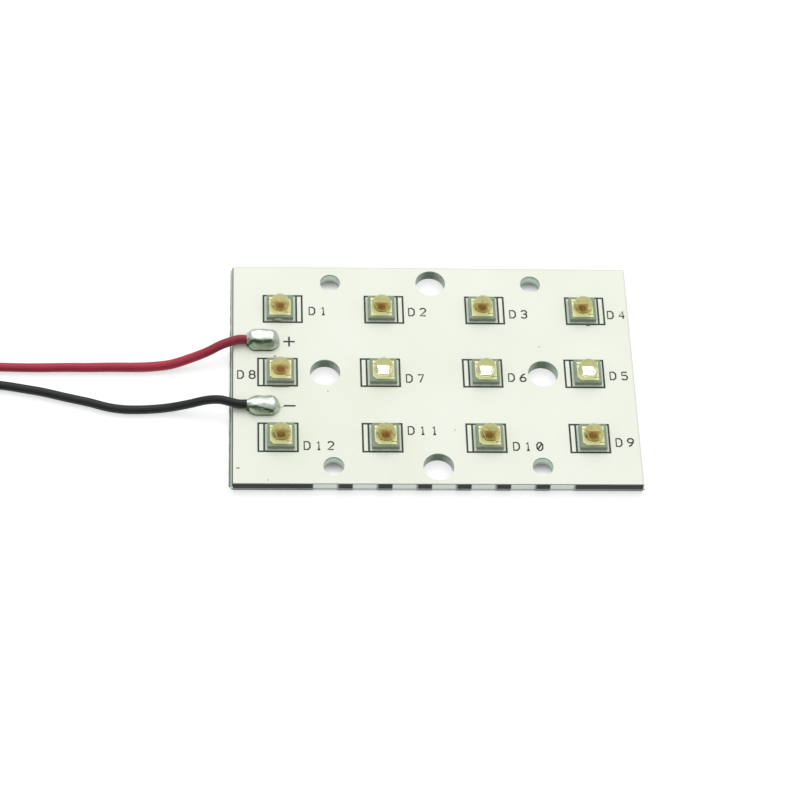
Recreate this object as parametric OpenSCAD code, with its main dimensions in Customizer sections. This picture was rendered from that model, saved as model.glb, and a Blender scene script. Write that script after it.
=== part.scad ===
// LED array: an aluminium-backed board with twelve domed LEDs in three rows of four,
// wired as one series string and fed by a red and a black lead soldered at its left end.
// Millimetres, +Z up. The origin is the middle of the board's flat back, which lies on z = 0.

/* [Board] */
// Width of the white face, left to right
board_w = 45; // [43.5:0.5:56]
// Depth of the white face, front to back
board_d = 28.8; // [25:0.2:30]
// Thickness of the aluminium plate
core_t = 1.3; // [1.1:0.1:3]
// Thickness of the insulating resin sheet on the plate
resin_t = 0.1; // [0.06:0.02:0.2]
// Thickness of the copper foil
foil_t = 0.07; // [0.03:0.01:0.14]
// Thickness of the white mask over the foil
mask_t = 0.03; // [0.02:0.01:0.06]
// Depth of the scored groove along the plate's edges, from either side
score_depth = 0.55; // [0.3:0.05:0.6]
// How far the snapped web between the grooves stands out
score_run = 0.2; // [0.05:0.05:0.3]

/* [Holes] */
// Distance from the board's front and back edges to the nearest screw holes
screw_edge = 2.15; // [1.9:0.05:2.6]
// Diameter of the screw holes
screw_hole_d = 3.4; // [3:0.1:3.6]
// Distance between the peg holes, left to right
peg_span_x = 23; // [22:0.1:24]
// Distance from the board's front and back edges to the peg holes
peg_edge = 2.2; // [1.6:0.05:3]
// Diameter of the peg holes
peg_hole_d = 2.3; // [1.8:0.1:2.6]

/* [LED grid] */
// Distance between the columns of LEDs
pitch_x = 11.5; // [11.1:0.1:12.2]
// Distance between the rows of LEDs
pitch_y = 8.55; // [7.6:0.05:11]

/* [LED package] */
// Side of the square ceramic base
led_w = 3; // [2.6:0.1:3.3]
// Height of the ceramic base
base_h = 0.55; // [0.4:0.05:0.9]
// Side of the gilded contact on the base
contact_w = 2.4; // [2:0.05:2.5]
// Thickness of the gilded contact
contact_t = 0.03; // [0.02:0.01:0.05]
// Cut-off corner of the contact, which marks the cathode
contact_chamfer = 0.4; // [0.2:0.05:0.6]
// Length of the two slits in the contact
slit_len = 0.6; // [0.3:0.05:0.7]
// Width of the slits
slit_w = 0.1; // [0.06:0.02:0.2]
// Width of the bar that each slit parts from the contact
slit_inset = 0.3; // [0.2:0.05:0.4]
// Side of the square chip
die_w = 0.75; // [0.5:0.05:0.9]
// Thickness of the chip
die_t = 0.15; // [0.08:0.01:0.25]
// Height of the lens's square foot
foot_h = 0.12; // [0.08:0.02:0.3]
// Diameter of the lens's dome
dome_d = 2.2; // [1.8:0.1:2.4]
// Height of the straight wall under the dome
skirt_h = 0.43; // [0.2:0.01:0.8]

/* [Solder pads] */
// Width of the middle pad under an LED, which draws off its heat
heat_pad_w = 1.1; // [0.8:0.1:1.4]
// Gap between the pads under an LED
pad_gap = 0.3; // [0.2:0.05:0.4]
// How far the pads reach out beyond the ceramic base
pad_toe = 0.12; // [0.05:0.01:0.2]
// Height of the solder between the foil and an LED
solder_t = 0.08; // [0.05:0.01:0.14]

/* [Foil] */
// Gap between neighbouring copper areas
foil_gap = 0.25; // [0.15:0.05:0.3]
// Bare margin between the copper and the board's edge
foil_margin = 0.5; // [0.3:0.1:0.8]
// Bare ring around each hole
hole_margin = 0.4; // [0.3:0.05:0.5]
// Width of the track that runs back below the middle row
track_w = 0.8; // [0.4:0.1:0.9]

/* [Print] */
// Width of the printed lines
line_w = 0.2; // [0.1:0.02:0.24]
// Thickness of the print
print_t = 0.02; // [0.01:0.01:0.04]
// Distance from an LED's base to the middle of the printed frame's lines, left and right
frame_gap_x = 0.35; // [0.3:0.01:0.6]
// Distance from an LED's base to the middle of the printed frame's lines, front and back
frame_gap_y = 0.31; // [0.3:0.01:0.5]
// Width of the cathode bar at the frame's end
bar_w = 0.64; // [0.4:0.02:1]
// Size of the plus and minus signs
sign_w = 1.3; // [0.8:0.1:1.5]
// Distance from a solder joint to its sign
sign_gap = 0.4; // [0.2:0.1:1]
// How far the signs stand behind the joints' middle lines
sign_shift = 0.15; // [0:0.05:0.3]

/* [Leads] */
// Diameter of the leads over their insulation
lead_d = 1; // [0.8:0.1:1.2]
// Height of a lead's underside above the white face at its joint
lead_rise = 0.1; // [0.1:0.05:0.3]
// Wall of solder around a lead's end
collar_wall = 0.08; // [0.04:0.01:0.09]
// Distance from the board's left end to the solder joints
joint_inset = 1.5; // [1.2:0.1:2]
// Length of the solder joints
joint_len = 3.7; // [3.2:0.1:4.2]
// Width of the solder joints
joint_w = 2.2; // [1.8:0.1:2.4]
// Height of the red lead's solder joint above the white face
positive_h = 1.45; // [1.25:0.05:1.6]
// Height of the black lead's solder joint above the white face
negative_h = 1.25; // [1.25:0.05:1.6]
// How far the solder joints stand in front of the middle between two rows of LEDs
joint_shift = 0.325; // [0:0.025:0.6]

/* [Coils] */
// Diameter across a coil at the middle of its turns
coil_d = 11; // [10:0.5:12]
// Turns that lie side by side in a coil
coil_across = 2; // [1:1:2]
// Turns that lie on each other in a coil
coil_layers = 3; // [2:1:4]
// Clearance between a coil and the lead that runs into it
coil_gap = 0.1; // [0.05:0.05:0.3]

/* [Hidden] */
$fn = 48;
columns = 4;
rows = 3;
led_count = columns * rows;
// Overshoot of a cut beyond the faces that it opens
cut = 1;

// Circle through the four screw holes, and the peg holes' distance from front to back
screw_circle_d = board_d - 2 * screw_edge;
peg_span_y = board_d - 2 * peg_edge;

// Printed frame around an LED, at the middle of its lines
frame_w = led_w + 2 * frame_gap_x;
frame_d = led_w + 2 * frame_gap_y;

// Distances of the solder joints from the board's middle line, behind and in front of it
positive_y = pitch_y / 2 - joint_shift;
negative_y = pitch_y / 2 + joint_shift;

// Levels of the layers, from the plate up
z_foil = core_t + resin_t;
z_pad = z_foil + foil_t;
z_face = z_pad + mask_t;
z_led = z_pad + solder_t;

// Outer limits of the copper, and how far an LED's pads reach from its middle
foil_x = board_w / 2 - foil_margin;
foil_y = board_d / 2 - foil_margin;
pad_reach = led_w / 2 + pad_toe;
pad_inner = heat_pad_w / 2 + pad_gap;

// The return track passes below the screw holes and the middle row's pads
track_top = -max(screw_hole_d / 2 + hole_margin, pad_reach + foil_gap);
track_bottom = track_top - track_w;

// The solder joints' left end, and the height of the leads' middle line there
joint_x = -board_w / 2 + joint_inset;
lead_z = z_face + lead_rise + lead_d / 2;
// Rounding of a joint's broad crown, and the crown's place between the joint's ends and sides
crown_r = 0.45;
crown_start = 0.75;
crown_inset = 0.95;
crown_side = 0.35;
crown_half = joint_w / 2 - crown_r - crown_side;
// How far the red lead's joint is heaped towards the back
crown_lean = 0.2;
// Thickness of the joint's edge, and of the plain disc that a lead's end meets
collar_t = 0.05;
joint_facets = 32;

// A coil's bundle of turns, and the middle line of its outermost turn
bundle_w = coil_across * lead_d;
bundle_h = coil_layers * lead_d;
coil_outer = (coil_d + bundle_w) / 2;
coil_turn = coil_outer - lead_d / 2;
coil_run = sqrt(pow(coil_outer, 2) - pow(coil_turn - lead_d / 2, 2)) + coil_gap;

// Routes of the leads: from the board's left end, from its middle line,
// and the height of the lead's underside above the table
exit_run = 0.9;
positive_exit = [joint_inset, positive_y, z_face + lead_rise];
negative_exit = [joint_inset, -negative_y, z_face + lead_rise];
positive_route = [
    [-0.4, 3.62, 1.6], [-1.5, 3.18, 1.5], [-3, 2.52, 1.1], [-5, 1.92, 0.6], [-7, 1.43, 0.2],
    [-9, 1.25, 0], [-11, 1.15, 0], [-13.5, 1.15, 0], [-16, 1.1, 0], [-18.5, 1.1, 0],
    [-21, 1.05, 0], [-23.5, 1.05, 0], [-26, 1.1, 0], [-28.5, 1.1, 0], [-30.5, 1.1, 0]
];
negative_route = [
    [-0.4, -4.34, 1.6], [-1.5, -4.06, 1.6], [-3, -3.96, 1.3], [-5, -4.12, 0.7], [-7, -4.24, 0.2],
    [-9, -4.36, 0], [-11, -4.44, 0], [-12.5, -4.36, 0], [-14, -4.08, 0], [-16, -3.48, 0],
    [-18.5, -2.86, 0], [-21, -2.2, 0], [-23, -1.8, 0], [-25.5, -1.35, 0], [-28, -1.1, 0],
    [-30.5, -1.1, 0]
];
lead_sides = 8;

// LEDs are numbered along the string: to the right in the back row, to the left in the others
function led_row(i) = floor((i - 1) / columns);
function led_column(i) = led_row(i) == 0 ? i - 1 : columns - 1 - (i - 1) % columns;
function column_x(c) = (c - (columns - 1) / 2) * pitch_x;
function row_y(r) = ((rows - 1) / 2 - r) * pitch_y;
function led_turn(i) = led_row(i) == 0 ? 180 : 0;

// Lower and upper limit of the copper that serves a row
function foil_low(r) = r == 0 ? (row_y(0) + row_y(1) + foil_gap) / 2
    : r == 1 ? track_top + foil_gap : -foil_y;
function foil_high(r) = r == 0 ? foil_y
    : r == 1 ? (row_y(0) + row_y(1) - foil_gap) / 2 : track_bottom - foil_gap;

// Rings of a swept lead
function unit(v) = v / norm(v);
function along(p, i) = unit(p[min(i + 1, len(p) - 1)] - p[max(i - 1, 0)]);
function across(t) = unit(cross(t, [0, 0, 1]));
function ring(p, i) =
    let (t = along(p, i), s = across(t), u = cross(s, t))
    [for (k = [0:lead_sides - 1])
        let (a = 360 * k / lead_sides)
        p[i] + lead_d / 2 * (cos(a) * s + sin(a) * u)];
function lead_line(exit, route) =
    [for (p = concat([exit, exit - [exit_run, 0, 0]], route)) p + [-board_w / 2, 0, lead_d / 2]];

// Places what belongs to one LED, turned so that its cathode end faces its bar
module at_led(i) {
    translate([column_x(led_column(i)), row_y(led_row(i)), 0])
        rotate([0, 0, led_turn(i)])
            children();
}

module at_screws() {
    for (a = [0:90:270])
        rotate([0, 0, a])
            translate([screw_circle_d / 2, 0, 0])
                children();
}

module at_pegs() {
    for (x = [-1, 1], y = [-1, 1])
        translate([x * peg_span_x / 2, y * peg_span_y / 2, 0])
            children();
}

module holes() {
    at_screws() translate([0, 0, -cut]) cylinder(d = screw_hole_d, h = z_face + 2 * cut);
    at_pegs() translate([0, 0, -cut]) cylinder(d = peg_hole_d, h = z_face + 2 * cut);
}

// Section of the plate across one pair of scored and snapped edges
module scored_section(width) {
    inner = width / 2;
    outer = inner + score_run;
    upper = core_t - score_depth;
    polygon([
        [-inner, 0], [inner, 0], [outer, score_depth], [outer, upper],
        [inner, core_t], [-inner, core_t], [-outer, upper], [-outer, score_depth]
    ]);
}

module aluminium_plate() {
    reach = board_w + board_d;
    color("#b9beba")
        difference() {
            intersection() {
                rotate([90, 0, 0]) linear_extrude(reach, center = true) scored_section(board_w);
                rotate([90, 0, 90]) linear_extrude(reach, center = true) scored_section(board_d);
            }
            holes();
        }
}

module sheet(z, thickness) {
    translate([-board_w / 2, -board_d / 2, z])
        cube([board_w, board_d, thickness]);
}

module resin_layer() {
    color("#8d948c")
        difference() {
            sheet(core_t, resin_t);
            holes();
        }
}

// Rectangle between two corners
module area(x0, y0, x1, y1) {
    translate([x0, y0]) square([x1 - x0, y1 - y0]);
}

// Long-ended pad that a lead's joint stands on, left end at the joint's left end
module joint_plan() {
    translate([joint_w / 2, -joint_w / 2]) square([joint_len - joint_w, joint_w]);
    for (x = [joint_w / 2, joint_len - joint_w / 2])
        translate([x, 0]) circle(d = joint_w, $fn = joint_facets);
}

// Copper areas: each carries the current from one LED's cathode to the next one's anode
module foil_plan() {
    first = column_x(0) - pad_inner;
    last = column_x(columns - 1) + pad_inner;
    left_top = pad_reach + foil_gap;
    for (i = [1:led_count])
        at_led(i) square([heat_pad_w, 2 * pad_reach], center = true);
    for (r = [0:rows - 1], c = [0:columns - 2])
        area(column_x(c) + pad_inner, foil_low(r), column_x(c + 1) - pad_inner, foil_high(r));
    area(-foil_x, left_top + foil_gap, first, foil_y);
    translate([joint_x, positive_y]) joint_plan();
    area(last, foil_low(1), foil_x, foil_y);
    area(-foil_x, track_bottom, first, left_top);
    area(-foil_x, track_bottom, foil_x, track_top);
    area(last, -foil_y, foil_x, track_top);
    area(-foil_x, -foil_y, first, foil_high(2));
    translate([joint_x, -negative_y]) joint_plan();
}

module copper_foil() {
    color("#b87333")
        translate([0, 0, z_foil])
            linear_extrude(foil_t)
                difference() {
                    foil_plan();
                    at_screws() circle(d = screw_hole_d + 2 * hole_margin);
                    at_pegs() circle(d = peg_hole_d + 2 * hole_margin);
                }
}

// The three pads under one LED
module led_pads() {
    side_w = pad_reach - pad_inner;
    square([heat_pad_w, 2 * pad_reach], center = true);
    for (side = [-1, 1])
        translate([side * (pad_inner + side_w / 2), 0]) square([side_w, 2 * pad_reach], center = true);
}

module mask_openings() {
    for (i = [1:led_count])
        at_led(i) led_pads();
    translate([joint_x, positive_y]) joint_plan();
    translate([joint_x, -negative_y]) joint_plan();
}

module solder_mask() {
    color("#f0f3e8")
        difference() {
            sheet(z_foil, foil_t + mask_t);
            copper_foil();
            translate([0, 0, z_pad]) linear_extrude(mask_t + cut) mask_openings();
            holes();
        }
}

// Printed frame around one LED, with the bar at its cathode end
module led_frame() {
    difference() {
        area(-frame_w / 2 - bar_w - line_w / 2, -(frame_d + line_w) / 2,
            (frame_w + line_w) / 2, (frame_d + line_w) / 2);
        square([frame_w - line_w, frame_d - line_w], center = true);
        translate([-(frame_w + bar_w) / 2, 0]) square([bar_w - line_w, frame_d - line_w], center = true);
    }
}

module printed_marks() {
    sign_x = joint_x + joint_len + sign_gap + sign_w / 2;
    color("#32413a")
        translate([0, 0, z_face])
            linear_extrude(print_t) {
                for (i = [1:led_count])
                    at_led(i) led_frame();
                translate([sign_x, positive_y + sign_shift]) {
                    square([sign_w, line_w], center = true);
                    square([line_w, sign_w], center = true);
                }
                translate([sign_x, sign_shift - negative_y]) square([sign_w, line_w], center = true);
            }
}

module led_solder() {
    color("#c9ccc8")
        translate([0, 0, z_pad])
            linear_extrude(solder_t)
                for (i = [1:led_count])
                    at_led(i) led_pads();
}

module led_base(i) {
    color("#8f988f")
        at_led(i)
            translate([-led_w / 2, -led_w / 2, z_led])
                cube([led_w, led_w, base_h]);
}

module contact_plan() {
    half = contact_w / 2;
    difference() {
        polygon([[half, -half], [half, half], [-half, half],
            [-half, contact_chamfer - half], [contact_chamfer - half, -half]]);
        for (turn = [0, 180])
            rotate(turn)
                area(half - slit_len, slit_inset - half, half + cut, slit_inset + slit_w - half);
    }
}

module contact_solid() {
    translate([0, 0, z_led + base_h]) linear_extrude(contact_t) contact_plan();
}

module led_contact(i) {
    color("#d8c37a")
        at_led(i) contact_solid();
}

module die_solid() {
    translate([-die_w / 2, -die_w / 2, z_led + base_h + contact_t]) cube([die_w, die_w, die_t]);
}

module led_die(i) {
    color("#9a4a22")
        at_led(i) die_solid();
}

// Half of the dome's section, from its axis outwards
module dome_section() {
    spring = foot_h + skirt_h;
    square([dome_d / 2, spring]);
    intersection() {
        translate([0, spring]) circle(d = dome_d);
        translate([0, spring]) square(dome_d / 2);
    }
}

// Clear moulding over the chip: a square foot and a dome, seated round the contact and the chip
module led_lens(i) {
    color("#e8dfb4", 0.5)
        at_led(i)
            difference() {
                translate([0, 0, z_led + base_h]) {
                    translate([-led_w / 2, -led_w / 2, 0]) cube([led_w, led_w, foot_h]);
                    rotate_extrude() dome_section();
                }
                contact_solid();
                die_solid();
            }
}

// Solder that fills its opening in the mask and rises to the lead's end, which meets it at a plain disc
module joint(y, height, lean) {
    color("#d4d6d4")
        translate([joint_x, y, 0]) {
            translate([0, 0, z_pad]) hull() linear_extrude(mask_t) joint_plan();
            hull() {
                translate([0, 0, z_face]) linear_extrude(collar_t) joint_plan();
                translate([0, 0, lead_z]) rotate([0, 90, 0])
                    cylinder(d = lead_d + 2 * collar_wall, h = collar_t, $fn = joint_facets);
                for (x = [crown_start, joint_len - crown_inset], side = [-1, 1])
                    translate([x, lean + side * crown_half, z_face + height - crown_r])
                        sphere(r = crown_r, $fn = joint_facets);
            }
        }
}

module positive_joint() {
    joint(positive_y, positive_h, crown_lean);
}

module negative_joint() {
    joint(-negative_y, negative_h, 0);
}

// Lead swept along its route, ring by ring
module lead(line, shade) {
    rings = len(line);
    last = (rings - 1) * lead_sides;
    points = [for (i = [0:rings - 1]) each ring(line, i)];
    walls = [for (i = [0:rings - 2], k = [0:lead_sides - 1])
        let (a = i * lead_sides, n = (k + 1) % lead_sides)
        [a + k, a + n, a + lead_sides + n, a + lead_sides + k]];
    start = [[for (k = [0:lead_sides - 1]) lead_sides - 1 - k]];
    end = [[for (k = [0:lead_sides - 1]) last + k]];
    color(shade)
        polyhedron(points, concat(start, walls, end), convexity = 4);
}

module positive_lead() {
    lead(lead_line(positive_exit, positive_route), "#9b2d41");
}

module negative_lead() {
    lead(lead_line(negative_exit, negative_route), "#262a2a");
}

// Coiled rest of a lead, behind the end of its route and on the given side of it
module coil(route, side, shade) {
    end = route[len(route) - 1];
    color(shade)
        translate([end[0] - board_w / 2 - coil_run, end[1] + side * coil_turn, 0])
            rotate_extrude()
                translate([(coil_d - bundle_w) / 2, 0]) square([bundle_w, bundle_h]);
}

module positive_coil() {
    coil(positive_route, 1, "#9b2d41");
}

module negative_coil() {
    coil(negative_route, -1, "#262a2a");
}

aluminium_plate();
resin_layer();
copper_foil();
solder_mask();
printed_marks();
led_solder();
positive_joint();
negative_joint();
positive_lead();
negative_lead();
positive_coil();
negative_coil();
for (i = [1:led_count]) {
    led_base(i);
    led_contact(i);
    led_die(i);
    led_lens(i);
}
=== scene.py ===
from math import cos, pi, sin

import bmesh
import bpy
from mathutils import Matrix, Vector, noise


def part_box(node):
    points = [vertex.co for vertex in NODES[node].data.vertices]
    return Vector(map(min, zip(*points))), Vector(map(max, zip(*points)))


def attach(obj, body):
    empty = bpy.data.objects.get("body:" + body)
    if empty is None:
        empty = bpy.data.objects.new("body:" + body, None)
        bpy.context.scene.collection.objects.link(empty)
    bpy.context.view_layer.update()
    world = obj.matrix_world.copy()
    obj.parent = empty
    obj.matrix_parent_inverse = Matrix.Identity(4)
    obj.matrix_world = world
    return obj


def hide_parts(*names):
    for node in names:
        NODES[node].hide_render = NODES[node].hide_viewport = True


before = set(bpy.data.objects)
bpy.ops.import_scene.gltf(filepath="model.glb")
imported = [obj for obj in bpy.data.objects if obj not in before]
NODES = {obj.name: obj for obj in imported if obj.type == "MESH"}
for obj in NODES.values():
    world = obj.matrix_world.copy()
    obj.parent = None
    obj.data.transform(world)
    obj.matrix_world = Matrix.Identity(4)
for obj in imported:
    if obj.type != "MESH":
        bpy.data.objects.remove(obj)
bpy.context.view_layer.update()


# Camera and studio: a long lens looks down on the LED array from its front left. A soft lamp hangs behind
# and above it, the room is bright overhead and dim in front, and a pale floor keeps the shadow. At the back
# of the board's four small holes, shade is painted on the floor.
MM = 0.001
CAMERA_PLACE = Vector((-23.592, -157.390, 243.019)) * MM
CAMERA_RIGHT = Vector((0.99765, -0.03232, 0.06042))
CAMERA_DOWN = Vector((0.00518, -0.84370, -0.53678))
CAMERA_FORWARD = Vector((0.06833, 0.53583, -0.84155))
CAMERA_REACH = (0.01, 10)
LENS_MM = 116.09
SENSOR_MM = 36.0
LAMP_PLACE = Vector((0.049, 0.327, 0.501))
LAMP_SIZE = (0.50, 0.40)
LAMP_WATTS = 1.2
ROOM_DIM = 0.20
ROOM_BRIGHT = 0.80
ROOM_LEAN = 0.75
ROOM_FADE = (-0.25, 0.4)
FLOOR_HALF = 1.5
FLOOR_DROP = 0.02 * MM
FLOOR_WHITE = 0.62
FLOOR_GLOW = 0.58
FLOOR_ROUGH = 0.9
PEG_X = 11.5 * MM
PEG_Y = 12.2 * MM
PEG_REACH = 1.6 * MM
PEG_PAINTED_SHADE = (-0.1 * MM, 1.15 * MM)
WHITE = (1, 1, 1, 1)


def add(tree, kind, **settings):
    """A new node; a setting is an input's name with _ for spaces, or else a property of the node."""
    made = tree.nodes.new(kind)
    for key, value in settings.items():
        socket = made.inputs.get(key.replace("_", " "))
        if socket is None:
            setattr(made, key, value)
        elif isinstance(value, bpy.types.NodeSocket):
            tree.links.new(value, socket)
        else:
            socket.default_value = value
    return made


def calc(tree, operation, *terms):
    """A Math node on numbers or sockets."""
    made = tree.nodes.new("ShaderNodeMath")
    made.operation = operation
    for place, term in enumerate(terms):
        if isinstance(term, bpy.types.NodeSocket):
            tree.links.new(term, made.inputs[place])
        else:
            made.inputs[place].default_value = term
    return made.outputs[0]


def spread(tree, value, low, high, to_low=0.0, to_high=1.0, way="LINEAR"):
    """Maps a number from one range to another, and holds it there."""
    made = add(tree, "ShaderNodeMapRange", interpolation_type=way, Value=value)
    for key, number in {"From Min": low, "From Max": high, "To Min": to_low, "To Max": to_high}.items():
        made.inputs[key].default_value = number
    return made.outputs["Result"]


def on_piece(tree):
    """The place on the piece, in the piece's own metres."""
    return add(tree, "ShaderNodeTexCoord").outputs["Object"]


def split(tree, place):
    """A place's X, Y and Z."""
    return add(tree, "ShaderNodeSeparateXYZ", Vector=place).outputs


def near_peg(tree, xyz):
    """One round each of the four small holes, and zero elsewhere."""
    inside = []
    for axis, middle in (("X", PEG_X), ("Y", PEG_Y)):
        off = calc(tree, "SUBTRACT", calc(tree, "ABSOLUTE", xyz[axis]), middle)
        inside.append(calc(tree, "LESS_THAN", calc(tree, "ABSOLUTE", off), PEG_REACH))
    return calc(tree, "MULTIPLY", *inside)


def link_object(name, data):
    """A new object of the scene, at the origin."""
    made = bpy.data.objects.new(name, data)
    bpy.context.scene.collection.objects.link(made)
    return made


camera_data = bpy.data.cameras.new("camera")
camera_data.sensor_width = SENSOR_MM
camera_data.lens = LENS_MM
camera_data.clip_start, camera_data.clip_end = CAMERA_REACH
camera = link_object("camera", camera_data)
axes = Matrix((CAMERA_RIGHT, -CAMERA_DOWN, -CAMERA_FORWARD)).transposed()
camera.matrix_world = Matrix.Translation(CAMERA_PLACE) @ axes.to_4x4()
bpy.context.scene.camera = camera
bpy.context.scene.view_settings.view_transform = "Standard"

lamp_data = bpy.data.lights.new("soft_lamp", "AREA")
lamp_data.shape = "RECTANGLE"
lamp_data.size, lamp_data.size_y = LAMP_SIZE
lamp_data.energy = LAMP_WATTS
lamp = link_object("soft_lamp", lamp_data)
lamp.location = LAMP_PLACE
lamp.rotation_euler = (-LAMP_PLACE).to_track_quat("-Z", "Y").to_euler()

room = bpy.data.worlds.new("room")
bpy.context.scene.world = room
room.use_nodes = True
tree = room.node_tree
sky = tree.nodes["Background"]
sky.inputs["Color"].default_value = WHITE
heading = split(tree, add(tree, "ShaderNodeTexCoord").outputs["Generated"])
lift = calc(tree, "ADD", calc(tree, "MULTIPLY", heading["Y"], ROOM_LEAN), heading["Z"])
level = spread(tree, lift, *ROOM_FADE, ROOM_DIM, ROOM_BRIGHT, "SMOOTHSTEP")
seen = add(tree, "ShaderNodeLightPath").outputs["Is Camera Ray"]
tree.links.new(calc(tree, "MAXIMUM", level, seen), sky.inputs["Strength"])

floor_mesh = bpy.data.meshes.new("floor")
corners = [(x * FLOOR_HALF, y * FLOOR_HALF, -FLOOR_DROP) for x, y in ((-1, -1), (1, -1), (1, 1), (-1, 1))]
floor_mesh.from_pydata(corners, [], [(0, 1, 2, 3)])
floor = link_object("floor", floor_mesh)
paper = bpy.data.materials.new("pale_paper")
paper.use_nodes = True
tree = paper.node_tree
shader = tree.nodes["Principled BSDF"]
shader.inputs["Base Color"].default_value = (FLOOR_WHITE, FLOOR_WHITE, FLOOR_WHITE, 1)
shader.inputs["Roughness"].default_value = FLOOR_ROUGH
shader.inputs["Specular IOR Level"].default_value = 0.0
shader.inputs["Emission Color"].default_value = WHITE
rays = add(tree, "ShaderNodeLightPath").outputs
looked_at = calc(tree, "MAXIMUM", rays["Is Camera Ray"], rays["Is Glossy Ray"])
looked_at = calc(tree, "MAXIMUM", looked_at, rays["Is Transmission Ray"])
# Painted shade: for the camera, the floor's glow is dimmed at the back of the four small holes
xyz = split(tree, on_piece(tree))
from_peg = calc(tree, "SUBTRACT", calc(tree, "WRAP", xyz["Y"], 2 * PEG_Y, 0.0), PEG_Y)
painted_peg_shade = calc(tree, "MULTIPLY", near_peg(tree, xyz), spread(tree, from_peg, *PEG_PAINTED_SHADE))
painted_peg_shade = calc(tree, "MULTIPLY", painted_peg_shade, rays["Is Camera Ray"])
glow = calc(tree, "MULTIPLY", calc(tree, "SUBTRACT", looked_at, painted_peg_shade), FLOOR_GLOW)
tree.links.new(glow, shader.inputs["Emission Strength"])
floor_mesh.materials.append(paper)


# Aluminium plate: rolled sheet, brushed on its back, drilled, and snapped out of a panel along scored
# grooves. The grooves' slopes are dark with painted shade, the snapped web between them is bare, and along
# the front the slope shows seven bright tabs.
def srgb(red, green, blue):
    """A colour read off a screen, 0 to 255, as the linear colour that a shader takes."""
    scaled = [value / 255 for value in (red, green, blue)]
    return tuple(v / 12.92 if v <= 0.04045 else ((v + 0.055) / 1.055) ** 2.4 for v in scaled)


FACE_LOW, FACE_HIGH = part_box("solder_mask")
FACE_W = FACE_HIGH.x - FACE_LOW.x
FACE_D = FACE_HIGH.y - FACE_LOW.y
PLATE_LOW, PLATE_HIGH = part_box("aluminium_plate")
PLATE_TOP = PLATE_HIGH.z
GROOVE_LOW = 0.55 * MM
GROOVE_HIGH = PLATE_TOP - GROOVE_LOW
HAIR = 0.01 * MM
TAB_FIRST = -13.85 * MM
TAB_PITCH = 4.335 * MM
TAB_WIDTH = 2.95 * MM
TAB_BEGIN = 0.12 * MM
TAB_FADE = 0.4 * MM
TAB_COUNT = 7
TAB_GLEAM = 0.9
EDGE_DULL = 0.75
LEFT_BAND_TOP = 0.98 * MM
PEG_FOOT_SHADE_TOP = 0.7 * MM
SCREW_FROM_MIDDLE = 12.25 * MM
SCREW_SHADE = (0.4 * MM, 1.6 * MM)
HOLE_MOTTLED = 0.35
BRUSH_GRAIN = (60, 2200, 2200)
BRUSH_DEPTH = 0.004 * MM
ALUMINIUM = srgb(196, 200, 198)
SHEET = (srgb(176, 181, 179), srgb(208, 211, 209))
SLOPE_SHADE = srgb(46, 54, 46)
BARE = srgb(216, 225, 214)
TAB = srgb(202, 212, 204)
LEFT_BAND = srgb(220, 232, 224)
SNAPPED = (srgb(120, 126, 120), srgb(176, 182, 176))
SCREW_WALL = (srgb(96, 112, 98), srgb(176, 188, 176))
HOLE_STAIN = srgb(84, 98, 86)
PEG_WALL = (srgb(178, 192, 180), srgb(210, 222, 212))
PEG_FOOT_SHADE = srgb(112, 128, 116)


def finish(name, colour, metallic=0.0, roughness=0.5):
    """A new material with a Principled shader; gives the material, its tree and the shader."""
    made = bpy.data.materials.new(name)
    made.use_nodes = True
    found = made.node_tree.nodes["Principled BSDF"]
    found.inputs["Base Color"].default_value = (*colour, 1)
    found.inputs["Metallic"].default_value = metallic
    found.inputs["Roughness"].default_value = roughness
    return made, made.node_tree, found


def grains(tree, place, scale, detail=2.0):
    """A random grain from 0 to 1, with about so many grains to the metre."""
    return add(tree, "ShaderNodeTexNoise", Vector=place, Scale=scale, Detail=detail).outputs["Fac"]


def swing(tree, grain, low=0.0, high=1.0):
    """Spreads the values that a grain mostly has, 0.3 to 0.7, from low to high."""
    return spread(tree, grain, 0.3, 0.7, low, high)


def blend(tree, factor, first, second):
    """Mixes two colours, each a tuple or a socket."""
    made = tree.nodes.new("ShaderNodeMix")
    made.data_type = "RGBA"
    tree.links.new(factor, made.inputs["Factor"])
    for socket, colour in ((made.inputs[6], first), (made.inputs[7], second)):
        if isinstance(colour, bpy.types.NodeSocket):
            tree.links.new(colour, socket)
        else:
            socket.default_value = (*colour, 1)
    return made.outputs[2]


def between(tree, value, low, high):
    """One where the value lies between two limits, and zero elsewhere."""
    above = calc(tree, "GREATER_THAN", value, low)
    return calc(tree, "MULTIPLY", above, calc(tree, "LESS_THAN", value, high))


def bump(tree, shader, height, distance):
    """Roughens a finish by so much at a height of one."""
    made = add(tree, "ShaderNodeBump", Height=height, Distance=distance, Strength=1.0)
    tree.links.new(made.outputs["Normal"], shader.inputs["Normal"])


def paint(piece, material):
    """Gives a piece this one finish."""
    piece.data.materials.clear()
    piece.data.materials.append(material)


plate_finish, tree, shader = finish("brushed_aluminium", ALUMINIUM, 1.0, 0.38)
place = on_piece(tree)
xyz = split(tree, place)
size_x = calc(tree, "ABSOLUTE", xyz["X"])
size_y = calc(tree, "ABSOLUTE", xyz["Y"])
stretch = add(tree, "ShaderNodeMapping", Vector=place, Scale=BRUSH_GRAIN)
grain = grains(tree, stretch.outputs[0], 1.0, 3.0)
mottle = grains(tree, place, 1800.0, 4.0)
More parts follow.
